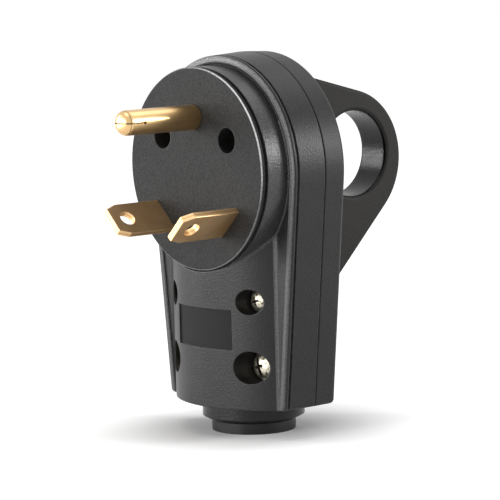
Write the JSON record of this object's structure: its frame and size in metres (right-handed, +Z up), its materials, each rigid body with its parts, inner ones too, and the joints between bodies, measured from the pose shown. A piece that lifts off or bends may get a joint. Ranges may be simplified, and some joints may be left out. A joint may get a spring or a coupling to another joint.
{
  "type": "cord connector",
  "caption": "Rewirable cord connector with a round earth pin, angled flat blades, a fin handle with a finger ring, and a cord collar below.",
  "frame": {"origin": "on the axis of the cord hole, at the bottom of the cord grommet", "axes": "+Z up along the cord axis, -Y the way the contacts point, X = 0 the plane of symmetry"},
  "size_m": [0.0568, 0.0893, 0.0959],
  "materials": {
    "shell": "moulded thermoplastic, fine satin grain",
    "face": "moulded thermoplastic, fine satin grain",
    "insulator": "moulded insulating plastic",
    "collar": "moulded thermoplastic, smooth satin",
    "grommet": "soft black rubber",
    "contact_brass": "stamped and turned brass, softly polished",
    "terminal_brass": "turned brass",
    "ground_screw": "green dyed plating",
    "screw_steel": "nickel plated steel"
  },
  "bodies": {
    "root": {"front_shell": "shell", "rear_shell": "shell", "face_plate": "face", "ground_pin": "contact_brass", "line_blade": "contact_brass", "neutral_blade": "contact_brass", "contact_carrier": "insulator", "ground_lug": "terminal_brass", "line_lug": "terminal_brass", "neutral_lug": "terminal_brass", "ground_saddle": "terminal_brass", "line_saddle": "terminal_brass", "neutral_saddle": "terminal_brass", "ground_screw": "ground_screw", "line_screw": "terminal_brass", "neutral_screw": "screw_steel", "carrier_screws": "screw_steel", "face_screws": "screw_steel", "upper_screws": "screw_steel", "clamp_screws": "screw_steel", "clamp_washers": "screw_steel", "face_inserts": "terminal_brass", "upper_inserts": "terminal_brass", "cord_clamp": "insulator", "clamp_nuts": "screw_steel", "collar_ring": "collar", "cord_grommet": "grommet"}
  },
  "joints": []
}
